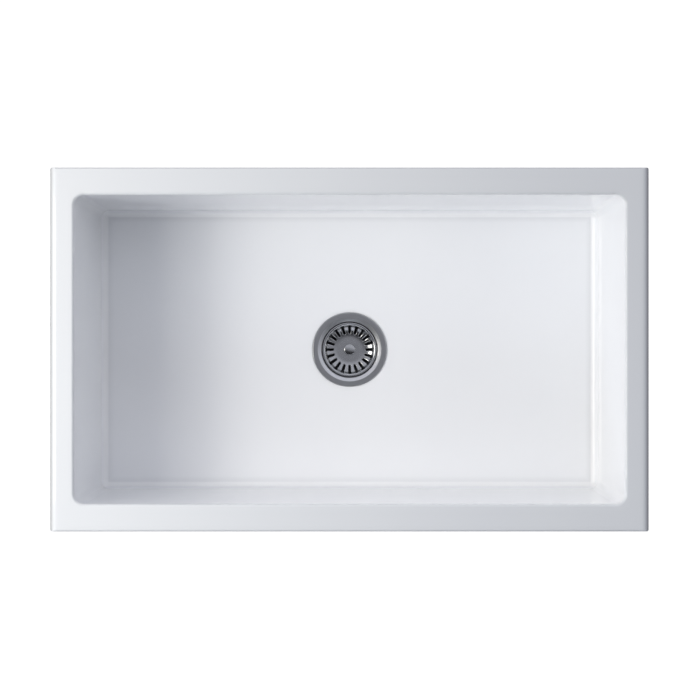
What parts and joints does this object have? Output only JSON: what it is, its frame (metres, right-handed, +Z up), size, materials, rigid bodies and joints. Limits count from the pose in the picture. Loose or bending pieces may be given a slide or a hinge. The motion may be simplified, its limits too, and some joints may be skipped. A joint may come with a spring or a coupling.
{
  "type": "kitchen sink",
  "caption": "Rectangular single-bowl glazed fireclay kitchen sink with a central basket strainer waste: the basket lifts out and its knob lifts a rubber stopper off the outlet.",
  "frame": {"origin": "on the drain axis, in the plane of the foot ring that the sink stands on", "axes": "X along the length of the bowl, +Y to the back, +Z up along the drain axis"},
  "size_m": [0.8376, 0.5078, 0.3695],
  "materials": {
    "glaze": "gloss white glaze over fireclay",
    "satin_stainless": "satin",
    "pressed_stainless": "bright pressed sheet",
    "turned_stainless": "polished, turned",
    "plated_brass": "bright plating",
    "cast_brass": "as cast",
    "black_rubber": "matt",
    "fibre_card": "pressed fibre",
    "white_polyethylene": "moulded"
  },
  "bodies": {
    "sink": {"sink_bowl": "glaze", "flange_seal": "black_rubber", "strainer_body": "satin_stainless", "sink_gasket": "black_rubber", "friction_ring": "fibre_card", "locknut": "cast_brass", "tailpiece_washer": "white_polyethylene", "tailpiece": "plated_brass", "coupling_nut": "plated_brass"},
    "basket": {"basket_shell": "pressed_stainless", "post_bush": "turned_stainless", "bush_collar": "turned_stainless", "post_ring": "black_rubber"},
    "stopper": {"pull_knob": "turned_stainless", "stopper_post": "turned_stainless", "stopper_plate": "pressed_stainless", "stopper_seal": "black_rubber", "stopper_washer": "pressed_stainless", "stopper_nut": "cast_brass"}
  },
  "joints": [
    {"name": "basket_lift", "type": "slide", "parent": "sink", "child": "basket", "axis": [0, 0, 1], "range_m": [0, 0.29]},
    {"name": "stopper_pull", "type": "slide", "parent": "basket", "child": "stopper", "axis": [0, 0, 1], "range_m": [0, 0.008]}
  ]
}
